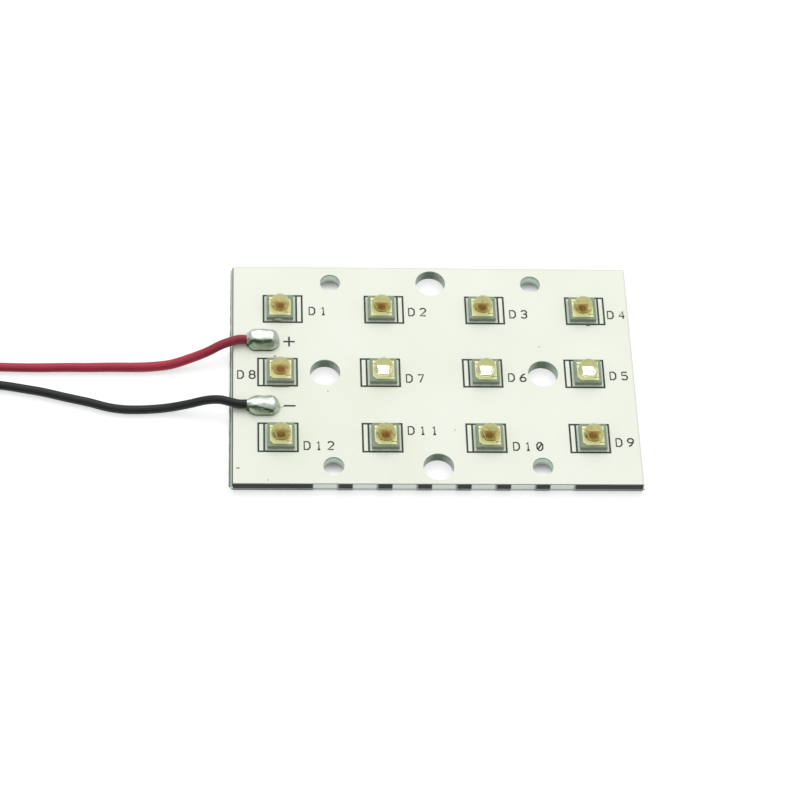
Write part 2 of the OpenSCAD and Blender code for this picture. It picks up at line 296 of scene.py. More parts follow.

# Drilled walls, in painted shade: the screw holes' are darkest at their back, and the peg holes' are
# lighter and darkest at their foot
from_back = calc(tree, "ABSOLUTE", calc(tree, "SUBTRACT", size_x, SCREW_FROM_MIDDLE))
from_back = calc(tree, "MINIMUM", size_x, from_back)
drilled = blend(tree, spread(tree, from_back, *SCREW_SHADE), *SCREW_WALL)
drilled = blend(tree, swing(tree, mottle, 0.0, HOLE_MOTTLED), drilled, HOLE_STAIN)
peg_wall = spread(tree, xyz["Z"], 0.0, PEG_FOOT_SHADE_TOP)
peg_wall = blend(tree, peg_wall, PEG_FOOT_SHADE, blend(tree, mottle, *PEG_WALL))
drilled = blend(tree, near_peg(tree, xyz), drilled, peg_wall)
wall = between(tree, xyz["Z"], HAIR, PLATE_TOP - HAIR)
sheet = blend(tree, wall, blend(tree, grain, *SHEET), drilled)

# Scored edges: painted shade on the slopes, with the bright tabs in front, the bare right end and the light
# band on the left end
past_end = calc(tree, "GREATER_THAN", size_x, FACE_W / 2 - HAIR)
past_side = calc(tree, "GREATER_THAN", size_y, FACE_D / 2 - HAIR)
edge = calc(tree, "MAXIMUM", past_end, past_side)
along = calc(tree, "DIVIDE", calc(tree, "SUBTRACT", xyz["X"], TAB_FIRST), TAB_PITCH)
past = calc(tree, "MULTIPLY", calc(tree, "FRACT", along), TAB_PITCH)
tab = spread(tree, past, 0.0, TAB_BEGIN)
tab = calc(tree, "MULTIPLY", tab, spread(tree, past, TAB_WIDTH - TAB_FADE, TAB_WIDTH, 1.0, 0.0))
tab = calc(tree, "MULTIPLY", tab, between(tree, along, 0.0, TAB_COUNT))
tab = calc(tree, "MULTIPLY", tab, calc(tree, "LESS_THAN", xyz["Y"], -FACE_D / 2))
right = calc(tree, "GREATER_THAN", xyz["X"], FACE_W / 2)
left = calc(tree, "LESS_THAN", xyz["X"], -FACE_W / 2)
left = calc(tree, "MULTIPLY", left, calc(tree, "LESS_THAN", xyz["Z"], LEFT_BAND_TOP))
bright = calc(tree, "MAXIMUM", tab, right)
slope = blend(tree, bright, SLOPE_SHADE, blend(tree, right, TAB, BARE))
slope = blend(tree, left, slope, LEFT_BAND)
snapped = between(tree, xyz["Z"], GROOVE_LOW, GROOVE_HIGH)
rim = blend(tree, snapped, slope, blend(tree, mottle, *SNAPPED))
tree.links.new(blend(tree, edge, sheet, rim), shader.inputs["Base Color"])
dull = calc(tree, "SUBTRACT", 1.0, calc(tree, "MULTIPLY", bright, TAB_GLEAM))
dull = calc(tree, "MULTIPLY", calc(tree, "MULTIPLY", edge, dull), EDGE_DULL)
tree.links.new(calc(tree, "SUBTRACT", 1.0, dull), shader.inputs["Metallic"])
tree.links.new(swing(tree, grain, 0.3, 0.46), shader.inputs["Roughness"])
bump(tree, shader, grain, BRUSH_DEPTH)
paint(NODES["aluminium_plate"], plate_finish)


# Snapped web: the thin bridge of aluminium that held the board in its panel. Along the left end it tore
# unevenly, and stands out between the grooves as a dark burr, wider towards the front.
WEB_BACK = 0.12 * MM
WEB_FRONT = 0.27 * MM
WEB_RAGGED = 0.05 * MM
WEB_TAPER = 0.05 * MM
WEB_ROWS = 120
WEB_LIGHT_FROM = 0.08 * MM
WEB_LIGHT_TO = 0.02 * MM
WEB_DEPTH = 0.02 * MM
TORN = (srgb(84, 98, 88), srgb(132, 146, 136))

web_root = PLATE_LOW.x
bm = bmesh.new()
rows = []
for row in range(WEB_ROWS + 1):
    share = row / WEB_ROWS
    y = FACE_D * (0.5 - share)
    reach = WEB_BACK + (WEB_FRONT - WEB_BACK) * share + WEB_RAGGED * noise.noise(Vector((0, y / MM, 0)))
    rows.append([bm.verts.new(corner) for corner in (
        (web_root + WEB_TAPER, y, GROOVE_LOW), (web_root + WEB_TAPER, y, GROOVE_HIGH),
        (web_root - reach, y, GROOVE_HIGH - WEB_TAPER), (web_root - reach, y, GROOVE_LOW + WEB_TAPER),
    )])
for near, far in zip(rows, rows[1:]):
    for k in range(4):
        n = (k + 1) % 4
        bm.faces.new((near[k], near[n], far[n], far[k]))
bm.faces.new(rows[0])
bm.faces.new(rows[-1])
bmesh.ops.recalc_face_normals(bm, faces=bm.faces)
web_mesh = bpy.data.meshes.new("snapped_web")
bm.to_mesh(web_mesh)
bm.free()
web = link_object("snapped_web", web_mesh)
web_finish, tree, shader = finish("torn_aluminium", srgb(104, 118, 108), 0.3, 0.55)
place = on_piece(tree)
torn = grains(tree, place, 3000.0, 3.0)
light = spread(tree, split(tree, place)["X"], web_root - WEB_LIGHT_FROM, web_root - WEB_LIGHT_TO)
colour = blend(tree, light, blend(tree, torn, *TORN), LEFT_BAND)
tree.links.new(colour, shader.inputs["Base Color"])
bump(tree, shader, torn, WEB_DEPTH)
paint(web, web_finish)
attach(web, "root")


# Resin sheet and copper foil: a filled resin bonds the etched foil to the plate. Only the resin's
# cut edge shows round the board and in the holes.
RESIN = (srgb(98, 106, 94), srgb(138, 146, 130))
COPPER = srgb(200, 128, 92)

resin_finish, tree, shader = finish("filled_resin", srgb(118, 126, 112), 0.0, 0.6)
filler = grains(tree, on_piece(tree), 9000.0)
tree.links.new(blend(tree, filler, *RESIN), shader.inputs["Base Color"])
paint(NODES["resin_layer"], resin_finish)

foil_finish, tree, shader = finish("etched_copper", COPPER, 1.0, 0.35)
etch = grains(tree, on_piece(tree), 6000.0, 3.0)
tree.links.new(swing(tree, etch, 0.28, 0.45), shader.inputs["Roughness"])
paint(NODES["copper_foil"], foil_finish)


# White mask: a lacquer screened over foil and resin, satin, a little warm, with a fine orange peel.
# It is greyer along its back and right edges, and a thin greenish band of painted shade lies round each
# LED.
LED_SHADE_INNER = 1.55 * MM
LED_SHADE_OUTER = 1.95 * MM
RIM_OUTER = 0.06 * MM
RIM_INNER = 0.16 * MM
PEEL_DEPTH = 0.004 * MM
CLOUDY = (0.35, 0.65)
MASK_WHITE = srgb(243, 246, 235)
LACQUER = (srgb(240, 245, 229), srgb(245, 249, 236))
MASK_LED_SHADE = srgb(206, 216, 198)
MASK_RIM = srgb(222, 228, 217)


def led_middle(led):
    """The middle of an LED's base, on its top."""
    low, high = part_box(f"led_{led}_base")
    return Vector(((low.x + high.x) / 2, (low.y + high.y) / 2, high.z))


LED_PITCH_X = led_middle(2).x - led_middle(1).x
LED_PITCH_Y = led_middle(1).y - led_middle(8).y


def from_led(tree, xyz):
    """How far a place lies from the middle of the LED next to it, along x and along y."""
    across = calc(tree, "WRAP", xyz["X"], LED_PITCH_X, 0.0)
    across = calc(tree, "SUBTRACT", across, LED_PITCH_X / 2)
    return across, calc(tree, "WRAP", xyz["Y"], LED_PITCH_Y / 2, -LED_PITCH_Y / 2)


mask_finish, tree, shader = finish("white_lacquer", MASK_WHITE, 0.0, 0.5)
place = on_piece(tree)
xyz = split(tree, place)
cloud = grains(tree, place, 90.0, 3.0)
lacquer = blend(tree, spread(tree, cloud, *CLOUDY), *LACQUER)
past_back = calc(tree, "SUBTRACT", xyz["Y"], FACE_D / 2)
past_right = calc(tree, "SUBTRACT", xyz["X"], FACE_W / 2)
rim = spread(tree, calc(tree, "MAXIMUM", past_back, past_right), -RIM_INNER, -RIM_OUTER)
lacquer = blend(tree, rim, lacquer, MASK_RIM)
# Painted shade: a greenish band round each LED's base
across, along = from_led(tree, xyz)
away = calc(tree, "MAXIMUM", calc(tree, "ABSOLUTE", across), calc(tree, "ABSOLUTE", along))
painted_shade = spread(tree, away, LED_SHADE_INNER, LED_SHADE_OUTER, 1.0, 0.0)
tree.links.new(blend(tree, painted_shade, lacquer, MASK_LED_SHADE), shader.inputs["Base Color"])
peel = grains(tree, place, 2600.0)
tree.links.new(swing(tree, peel, 0.45, 0.58), shader.inputs["Roughness"])
shader.inputs["Specular IOR Level"].default_value = 0.35
bump(tree, shader, peel, PEEL_DEPTH)
paint(NODES["solder_mask"], mask_finish)


# Print: dark ink, screened on the lacquer as frames, cathode bars and signs, with a reference
# beside each LED in single strokes.
PRINT_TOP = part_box("printed_marks")[1].z
MASK_TOP = FACE_HIGH.z
STROKE = 0.17 * MM
GLYPH_W = 0.62 * MM
GLYPH_H = 1.0 * MM
GLYPH_STEP = 1.3 * MM
INK = (srgb(36, 48, 40), srgb(60, 74, 62))
# Strokes of each glyph on a grid 4 wide and 6 high
GRID_W = 4
GRID_H = 6
GLYPHS = {
    "D": [[(0, 0), (0, 6), (2.6, 6), (4, 4.6), (4, 1.4), (2.6, 0), (0, 0)]],
    "0": [[(1.3, 0), (0, 1.4), (0, 4.6), (1.3, 6), (2.7, 6), (4, 4.6), (4, 1.4), (2.7, 0), (1.3, 0)],
          [(0.6, 0.9), (3.4, 5.1)]],
    "1": [[(1, 4.8), (2, 6), (2, 0)], [(1, 0), (3, 0)]],
    "2": [[(0, 5), (1, 6), (3, 6), (4, 5), (4, 3.8), (0, 0), (4, 0)]],
    "3": [[(0, 5.2), (1, 6), (3, 6), (4, 5), (4, 4), (3, 3.2), (1.6, 3.2)],
          [(3, 3.2), (4, 2.2), (4, 1), (3, 0), (1, 0), (0, 0.8)]],
    "4": [[(3, 0), (3, 6), (0, 2), (4, 2)]],
    "5": [[(4, 6), (0.4, 6), (0.2, 3.4), (2.8, 3.6), (4, 2.6), (4, 1), (3, 0), (1, 0), (0, 0.8)]],
    "6": [[(3.6, 6), (1.6, 5), (0, 2.4), (0, 1), (1, 0), (3, 0), (4, 1), (4, 2.2), (3, 3.2), (0.4, 3)]],
    "7": [[(0, 6), (4, 6), (1.4, 0)]],
    "8": [[(1, 3.2), (0.2, 4), (0.2, 5), (1, 6), (3, 6), (3.8, 5), (3.8, 4), (3, 3.2), (1, 3.2),
           (0, 2.2), (0, 1), (1, 0), (3, 0), (4, 1), (4, 2.2), (3, 3.2)]],
    "9": [[(3.6, 3), (1, 2.8), (0, 3.8), (0, 5), (1, 6), (3, 6), (4, 5), (4, 3.6), (2.4, 1), (0.6, 0)]],
}
# Middle of each LED's reference on the board, in millimetres
REFERENCES = {
    1: (-12.97, 8.3), 2: (-1.65, 8.25), 3: (9.9, 8.05), 4: (21.14, 8.05),
    5: (20.8, -0.25), 6: (9.3, -0.55), 7: (-2.2, -0.75), 8: (-21.05, -0.35),
    9: (20.8, -9.05), 10: (10.0, -9.6), 11: (-1.58, -7.6), 12: (-13.1, -9.6),
}

ink_finish, tree, shader = finish("screened_ink", srgb(44, 57, 47), 0.0, 0.55)
patch = grains(tree, on_piece(tree), 3500.0, 3.0)
tree.links.new(blend(tree, swing(tree, patch), *INK), shader.inputs["Base Color"])
shader.inputs["Specular IOR Level"].default_value = 0.3
paint(NODES["printed_marks"], ink_finish)


def plain_mesh(source, name):
    """Turns a made object into a plain mesh object of that name, and removes the source."""
    bpy.context.view_layer.update()
    evaluated = source.evaluated_get(bpy.context.evaluated_depsgraph_get())
    mesh = bpy.data.meshes.new_from_object(evaluated)
    bpy.data.objects.remove(source)
    mesh.name = name
    return link_object(name, mesh)


def stroke_tree():
    """Geometry nodes that give each edge path of a mesh a flat stroke of ink."""
    group = bpy.data.node_groups.new("ink_strokes", "GeometryNodeTree")
    interface = group.interface
    interface.new_socket("Geometry", in_out="INPUT", socket_type="NodeSocketGeometry")
    width = interface.new_socket("Stroke width", in_out="INPUT", socket_type="NodeSocketFloat")
    height = interface.new_socket("Ink height", in_out="INPUT", socket_type="NodeSocketFloat")
    ink = interface.new_socket("Ink", in_out="INPUT", socket_type="NodeSocketMaterial")
    interface.new_socket("Geometry", in_out="OUTPUT", socket_type="NodeSocketGeometry")
    start = group.nodes.new("NodeGroupInput").outputs
    end = group.nodes.new("NodeGroupOutput")
    paths = add(group, "GeometryNodeMeshToCurve", Mesh=start["Geometry"])
    section = add(group, "GeometryNodeCurvePrimitiveQuadrilateral",
                  Width=start["Stroke width"], Height=start["Ink height"])
    swept = add(group, "GeometryNodeCurveToMesh", Curve=paths.outputs["Curve"],
                Profile_Curve=section.outputs["Curve"], Fill_Caps=True)
    real = add(group, "GeometryNodeRealizeInstances", Geometry=swept.outputs["Mesh"])
    inked = add(group, "GeometryNodeSetMaterial", Geometry=real.outputs["Geometry"], Material=start["Ink"])
    group.links.new(inked.outputs["Geometry"], end.inputs["Geometry"])
    return group, width.identifier, height.identifier, ink.identifier


points, edges = [], []
for number, (x, y) in REFERENCES.items():
    word = f"D{number}"
    left = x * MM - (GLYPH_STEP * (len(word) - 1) + GLYPH_W) / 2
    for order, letter in enumerate(word):
        for path in GLYPHS[letter]:
            first = len(points)
            closed = path[0] == path[-1]
            count = len(path) - closed
            edges += [(first + step, first + step + 1) for step in range(count - 1)]
            if closed:
                edges.append((first + count - 1, first))
            for across, up in path[:count]:
                points.append((
                    left + order * GLYPH_STEP + across / GRID_W * GLYPH_W,
                    y * MM + (up / GRID_H - 0.5) * GLYPH_H,
                    (MASK_TOP + PRINT_TOP) / 2,
                ))
skeleton = bpy.data.meshes.new("reference_paths")
skeleton.from_pydata(points, edges, [])
references = link_object("reference_paths", skeleton)
group, width_key, height_key, ink_key = stroke_tree()
strokes = references.modifiers.new("strokes", "NODES")
strokes.node_group = group
strokes[width_key] = STROKE
strokes[height_key] = PRINT_TOP - MASK_TOP
strokes[ink_key] = ink_finish
references = plain_mesh(references, "led_references")
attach(references, "root")


# Solder under the LEDs: three pads of tin alloy under each, reflowed between foil and base. What comes out
# beside a base is silver-grey with a soft grain.
REFLOWED = (srgb(206, 218, 206), srgb(226, 236, 226))

solder_finish, tree, shader = finish("reflowed_solder", srgb(216, 226, 216), 0.1, 0.5)
frost = grains(tree, on_piece(tree), 5000.0, 3.0)
tree.links.new(blend(tree, frost, *REFLOWED), shader.inputs["Base Color"])
tree.links.new(swing(tree, frost, 0.45, 0.65), shader.inputs["Roughness"])
paint(NODES["led_solder"], solder_finish)


# LED bases: fired alumina tiles, grey with a green cast, sawn square from a larger sheet and soldered
# to the board by pads on their undersides.
LEDS = range(1, 13)
CERAMIC = (srgb(128, 142, 120), srgb(150, 165, 144))
GRIT_DEPTH = 0.001 * MM

ceramic_finish, tree, shader = finish("grey_ceramic", srgb(140, 154, 132), 0.0, 0.55)
grit = grains(tree, on_piece(tree), 7000.0, 3.0)
tree.links.new(blend(tree, grit, *CERAMIC), shader.inputs["Base Color"])
bump(tree, shader, grit, GRIT_DEPTH)
for led in LEDS:
    paint(NODES[f"led_{led}_base"], ceramic_finish)


# Contacts: gold plated on the bases, pale and finely matt, with slits and one cut corner. Round the chip
# they are specked brown and bright gold, the bright specks painted glints, and on three LEDs they are
# polished there.
BRIGHT_LEDS = (5, 6, 7)
BRIGHT_HALF_X = 0.66 * MM
BRIGHT_HALF_Y = 0.55 * MM
BRIGHT_MIDDLE = -0.08 * MM
BRIGHT_SQUARENESS = 3.0
BRIGHT_RIM = (0.9, 1.1)
BRIGHT_SMOOTHER = 0.25
SPECKLED_FROM = 0.42 * MM
SPECKLED_TO = 0.72 * MM
SPECKS = (0.4, 0.6)
ETCH_DEPTH = 0.001 * MM
GILDING = (srgb(250, 250, 188), srgb(254, 255, 216))
SPECKS_AND_GLINTS = (srgb(174, 146, 80), srgb(248, 236, 168))
MIRROR = (1.0, 1.0, 1.0)


def distance(tree, across, along):
    """The straight distance of a point that lies so far across and along."""
    squares = [calc(tree, "POWER", side, 2.0) for side in (across, along)]
    return calc(tree, "SQRT", calc(tree, "ADD", *squares))


def gilded(name, polished):
    """Matt gilding, specked round the chip with painted glints, or polished there."""
    made, tree, shader = finish(name, srgb(254, 250, 206), 0.0, 0.45)
    place = on_piece(tree)
    etch = grains(tree, place, 8000.0, 3.0)
    colour = blend(tree, etch, *GILDING)
    rough = swing(tree, etch, 0.38, 0.52)
    across, along = from_led(tree, split(tree, place))
    if polished:
        across = calc(tree, "DIVIDE", calc(tree, "ABSOLUTE", across), BRIGHT_HALF_X)
        along = calc(tree, "ABSOLUTE", calc(tree, "SUBTRACT", along, BRIGHT_MIDDLE))
        along = calc(tree, "DIVIDE", along, BRIGHT_HALF_Y)
        reach = [calc(tree, "POWER", side, BRIGHT_SQUARENESS) for side in (across, along)]
        patch = spread(tree, calc(tree, "ADD", *reach), *BRIGHT_RIM, 1.0, 0.0)
        colour = blend(tree, patch, colour, MIRROR)
        metal = patch
        rough = calc(tree, "SUBTRACT", rough, calc(tree, "MULTIPLY", patch, BRIGHT_SMOOTHER))
    else:
        # Painted glints: bright gold specks in a ring round the chip
        near = spread(tree, distance(tree, across, along), SPECKLED_FROM, SPECKLED_TO, 0.9, 0.0)
        speck = spread(tree, grains(tree, place, 5000.0, 1.0), *SPECKS)
        colour = blend(tree, near, colour, blend(tree, speck, *SPECKS_AND_GLINTS))
        metal = calc(tree, "MULTIPLY", near, 0.5)
    tree.links.new(colour, shader.inputs["Base Color"])
    tree.links.new(metal, shader.inputs["Metallic"])
    tree.links.new(rough, shader.inputs["Roughness"])
    bump(tree, shader, etch, ETCH_DEPTH)
    return made


gilding = gilded("matt_gilding", False)
polished_gilding = gilded("polished_gilding", True)
for led in LEDS:
    paint(NODES[f"led_{led}_contact"], polished_gilding if led in BRIGHT_LEDS else gilding)


# Chips: diced wafers, bonded to the contacts, copper-brown and paler towards their edges. Three of them
# have a bright mirrored face and dull sawn sides.
CHIP_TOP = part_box("led_1_die")[1].z
CHIP_EDGE = 0.005 * MM
CHIP_FADE = (0.2 * MM, 0.42 * MM)
BLOTCHES = (0.35, 0.65)
SAWN_ROUGHER = 0.3
CHIP_BROWN = (srgb(128, 86, 32), srgb(157, 115, 55))
CHIP_PALE = srgb(199, 175, 106)

chip_finish, tree, shader = finish("brown_chip", srgb(120, 74, 16), 0.0, 0.45)
place = on_piece(tree)
from_middle = distance(tree, *from_led(tree, split(tree, place)))
blotch = spread(tree, grains(tree, place, 6000.0), *BLOTCHES)
face = blend(tree, spread(tree, from_middle, *CHIP_FADE), blend(tree, blotch, *CHIP_BROWN), CHIP_PALE)
tree.links.new(face, shader.inputs["Base Color"])
shader.inputs["Specular IOR Level"].default_value = 0.1

bright_finish, tree, shader = finish("bright_chip", MIRROR, 1.0, 0.25)
place = on_piece(tree)
sheen = swing(tree, grains(tree, place, 3000.0), 0.15, 0.25)
sawn = calc(tree, "LESS_THAN", split(tree, place)["Z"], CHIP_TOP - CHIP_EDGE)
tree.links.new(calc(tree, "SUBTRACT", 1.0, sawn), shader.inputs["Metallic"])
rough = calc(tree, "ADD", sheen, calc(tree, "MULTIPLY", sawn, SAWN_ROUGHER))
tree.links.new(rough, shader.inputs["Roughness"])
for led in LEDS:
    paint(NODES[f"led_{led}_die"], bright_finish if led in BRIGHT_LEDS else chip_finish)


# Lenses: clear silicone moulded over chip and contact, with a square foot that grips the base and a dome.
# Two of them have a dull skin.
DULL_LENSES = (1, 8)
TURNED_LEDS = (1, 2, 3, 4)
DOME_R = 1.1 * MM
FOOT_HALF = 1.49 * MM
FOOT_H = 0.12 * MM
SKIRT_H = 0.43 * MM
SINK = 0.006 * MM
RINGS = 16
SEGMENTS = 48
SILICONE_INDEX = 1.46
SILICONE_SHEEN = (0.5, 0.5, 0.5, 1)
CLEAR = srgb(240, 243, 208)
DULL = srgb(252, 246, 214)
SKIN = srgb(250, 250, 240)


def lens_template(dome, skin):
    """One lens with its underside at z = 0 and its axis on z, its dome and its foot in their finishes."""
    bm = bmesh.new()
    spring = FOOT_H + SKIRT_H
    profile = [(DOME_R, FOOT_H), (DOME_R, spring)]
    for ring in range(1, RINGS):
        angle = pi / 2 * ring / RINGS
        profile.append((DOME_R * cos(angle), spring + DOME_R * sin(angle)))
    turns = [2 * pi * k / SEGMENTS for k in range(SEGMENTS)]
    rings = [[bm.verts.new((r * cos(a), r * sin(a), z)) for a in turns] for r, z in profile]
    top = bm.verts.new((0, 0, spring + DOME_R))
    for low, high in zip(rings, rings[1:]):
        for k in range(SEGMENTS):
            n = (k + 1) % SEGMENTS
            bm.faces.new((low[k], low[n], high[n], high[k]))
    for k in range(SEGMENTS):
        bm.faces.new((rings[-1][k], rings[-1][(k + 1) % SEGMENTS], top))
    square = []
    for a in turns:
        reach = FOOT_HALF / max(abs(cos(a)), abs(sin(a)))
        square.append((reach * cos(a), reach * sin(a)))
    brim = [bm.verts.new((x, y, FOOT_H)) for x, y in square]
    under = [bm.verts.new((x, y, -SINK)) for x, y in square]
    for k in range(SEGMENTS):
        n = (k + 1) % SEGMENTS
        bm.faces.new((brim[k], brim[n], rings[0][n], rings[0][k]))
        bm.faces.new((under[k], under[n], brim[n], brim[k]))
    bm.faces.new(list(reversed(under)))
    bmesh.ops.recalc_face_normals(bm, faces=bm.faces)
    for face in bm.faces:
        face.smooth = face.calc_center_median().z > FOOT_H + HAIR
        face.material_index = 0 if face.smooth else 1
    mesh = bpy.data.meshes.new("lens_template")
    mesh.materials.append(dome)
    mesh.materials.append(skin)
    bm.to_mesh(mesh)
    bm.free()
    return link_object("lens_template", mesh)


def scatter_tree(name, coats):
    """Geometry nodes that set one template on each point of a mesh, turned by the point's attribute turn.

    The inputs are the template and its finishes, in the order of its material slots.
    """
    group = bpy.data.node_groups.new(name, "GeometryNodeTree")
    interface = group.interface
    interface.new_socket("Geometry", in_out="INPUT", socket_type="NodeSocketGeometry")
    inputs = [interface.new_socket("Template", in_out="INPUT", socket_type="NodeSocketObject")]
    for slot in range(coats):
        coat = interface.new_socket(f"Coat {slot}", in_out="INPUT", socket_type="NodeSocketMaterial")
        inputs.append(coat)
    interface.new_socket("Geometry", in_out="OUTPUT", socket_type="NodeSocketGeometry")
    start = group.nodes.new("NodeGroupInput").outputs
    end = group.nodes.new("NodeGroupOutput")
    points = add(group, "GeometryNodeMeshToPoints", Mesh=start["Geometry"])
    template = add(group, "GeometryNodeObjectInfo", Object=start["Template"])
    turn = add(group, "GeometryNodeInputNamedAttribute", data_type="FLOAT", Name="turn")
    spin = add(group, "ShaderNodeCombineXYZ", Z=turn.outputs["Attribute"])
    placed = add(group, "GeometryNodeInstanceOnPoints", Points=points.outputs["Points"],
                 Instance=template.outputs["Geometry"], Rotation=spin.outputs["Vector"])
    real = add(group, "GeometryNodeRealizeInstances", Geometry=placed.outputs["Instances"])
    slots = group.nodes.new("GeometryNodeInputMaterialIndex").outputs["Material Index"]
    coated = real.outputs["Geometry"]
    for slot in range(coats):
        ours = calc(group, "COMPARE", slots, slot, 0.5)
        coated = add(group, "GeometryNodeSetMaterial", Geometry=coated, Selection=ours,
                     Material=start[f"Coat {slot}"]).outputs["Geometry"]
    group.links.new(coated, end.inputs["Geometry"])
    return group, [socket.identifier for socket in inputs]


def set_on_leds(name, leds, template):
    """One plain mesh with the template on each of these LEDs; the template is removed."""
    coats = list(template.data.materials)
    group, keys = scatter_tree(name, len(coats))
    mesh = bpy.data.meshes.new(name)
    mesh.from_pydata([led_middle(led) for led in leds], [], [])
    turn = mesh.attributes.new("turn", "FLOAT", "POINT")
    turn.data.foreach_set("value", [pi if led in TURNED_LEDS else 0.0 for led in leds])
    holder = link_object(name + "_points", mesh)
    modifier = holder.modifiers.new("scatter", "NODES")
    modifier.node_group = group
    for key, value in zip(keys, (template, *coats)):
        modifier[key] = value
    whole = plain_mesh(holder, name)
    bpy.data.objects.remove(template)
    return whole


def see_through(name, colour, roughness, index, sheen=WHITE):
    """A finish that light goes through, bent by this index."""
    made, tree, shader = finish(name, colour, 0.0, roughness)
    shader.inputs["Transmission Weight"].default_value = 1.0
    shader.inputs["IOR"].default_value = index
    shader.inputs["Specular Tint"].default_value = sheen
    return made


clear_finish = see_through("clear_silicone", CLEAR, 0.02, SILICONE_INDEX, SILICONE_SHEEN)
dull_finish = see_through("dull_silicone", DULL, 0.26, SILICONE_INDEX, SILICONE_SHEEN)
skin_finish = see_through("silicone_skin", SKIN, 0.0, 1.0)
for name, leds, dome in (
    ("clear_lenses", [led for led in LEDS if led not in DULL_LENSES], clear_finish),
    ("dull_lenses", list(DULL_LENSES), dull_finish),
):
    lenses = set_on_leds(name, leds, lens_template(dome, skin_finish))
    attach(lenses, "root")
    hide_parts(*[f"led_{led}_lens" for led in leds])


# Bond wires: two fine gold wires on each LED, welded at their ends. They arch inside the lens from the chip
# to the bars that the slits part from the contact.
WIRE_R = 0.026 * MM
WIRE_RISE = 0.18 * MM
WIRE_STEPS = 10
WIRE_SIDES = 6
WIRE_ON_CHIP = (0.3 * MM, 0.13125 * MM)
WIRE_ON_BAR = (0.8 * MM, -1.02 * MM)
GOLD = srgb(255, 246, 206)


def tube(path, radius, sides):
    """A closed round tube along a path, as a bmesh; the radius is a number or goes by the point."""
    bm = bmesh.new()
    side = None
    rings = []
    turns = [2 * pi * k / sides for k in range(sides)]
    for place, point in enumerate(path):
        ahead = path[min(place + 1, len(path) - 1)] - path[max(place - 1, 0)]
        ahead.normalize()
        if side is None:
            side = ahead.orthogonal().normalized()
        side = (side - side.dot(ahead) * ahead).normalized()
        up = ahead.cross(side)
        size = radius(point) if callable(radius) else radius
        rings.append([bm.verts.new(point + size * (cos(a) * side + sin(a) * up)) for a in turns])
    for low, high in zip(rings, rings[1:]):
        for k in range(sides):
            n = (k + 1) % sides
            bm.faces.new((low[k], low[n], high[n], high[k])).smooth = True
    bm.faces.new(list(reversed(rings[0])))
    bm.faces.new(rings[-1])
    bmesh.ops.recalc_face_normals(bm, faces=bm.faces)
    return bm


def mesh_object(name, *parts):
    """One object from several bmeshes, which are freed."""
    whole = bmesh.new()
    for part in parts:
        mesh = bpy.data.meshes.new("part")
        part.to_mesh(mesh)
        part.free()
        whole.from_mesh(mesh)
        bpy.data.meshes.remove(mesh)
    mesh = bpy.data.meshes.new(name)
    whole.to_mesh(mesh)
    whole.free()
    return link_object(name, mesh)


base_top = led_middle(1).z
bar_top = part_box("led_1_contact")[1].z
arcs = []
for way in (-1, 1):
    begin = Vector((way * WIRE_ON_CHIP[0], way * WIRE_ON_CHIP[1], CHIP_TOP - base_top))
    end = Vector((way * WIRE_ON_BAR[0], way * WIRE_ON_BAR[1], bar_top - base_top))
    path = []
    for step in range(WIRE_STEPS + 1):
        share = step / WIRE_STEPS
        rise = WIRE_RISE * 4 * share * (1 - share)
        path.append(begin.lerp(end, share) + Vector((0, 0, rise)))
    arcs.append(tube(path, WIRE_R, WIRE_SIDES))
template = mesh_object("bond_wire_template", *arcs)
wire_finish, tree, shader = finish("gold_wire", GOLD, 0.4, 0.3)
drawn = grains(tree, on_piece(tree), 20000.0)
tree.links.new(swing(tree, drawn, 0.15, 0.28), shader.inputs["Roughness"])
paint(template, wire_finish)
bond_wires = set_on_leds("bond_wires", list(LEDS), template)
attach(bond_wires, "root")


# Solder joints of the leads: mounds of tin alloy, melted on by hand, bright and lumpy. They fill their
# openings in the mask, rise to the leads' ends, and have painted shade on the slope in front: greyer,
# with a dark band and a dark foot.
JOINT_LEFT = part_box("positive_joint")[0].x
STATIONS = 44
ARCH_STEPS = 36
ARCH_FULLNESS = 0.8
LEAD_TOP = 1.18 * MM
LEAD_HALF = 0.58 * MM
RISE_RUN = 0.5 * MM
FALL_RUN = 1.1 * MM
FALL_ROUNDNESS = (2.6, 0.6)
SUNK = 0.02 * MM
OVERLAP = 0.06 * MM
LUMP_H = 0.08 * MM
LUMP_RUN = 0.8 * MM
FINE_RUN = 0.4 * MM
FINE_SHARE = 0.3
SHADE_WAVE = 0.5 * MM
SHADE_FRAY = 0.4 * MM
SHADE_EDGE = (-0.06 * MM, 0.03 * MM)
SHADE_BAND = (-0.36 * MM, -0.2 * MM)
FOOT_SHADE = (0.14 * MM, 0.26 * MM)
CAP_FADE = (2.75 * MM, 3.0 * MM)
NO_SHADE = -9.0 * MM
SOLDER_DEPTH = 0.04 * MM
BRIGHT_TIN = srgb(194, 201, 192)
SHADED = srgb(184, 197, 177)
BAND = srgb(84, 98, 78)


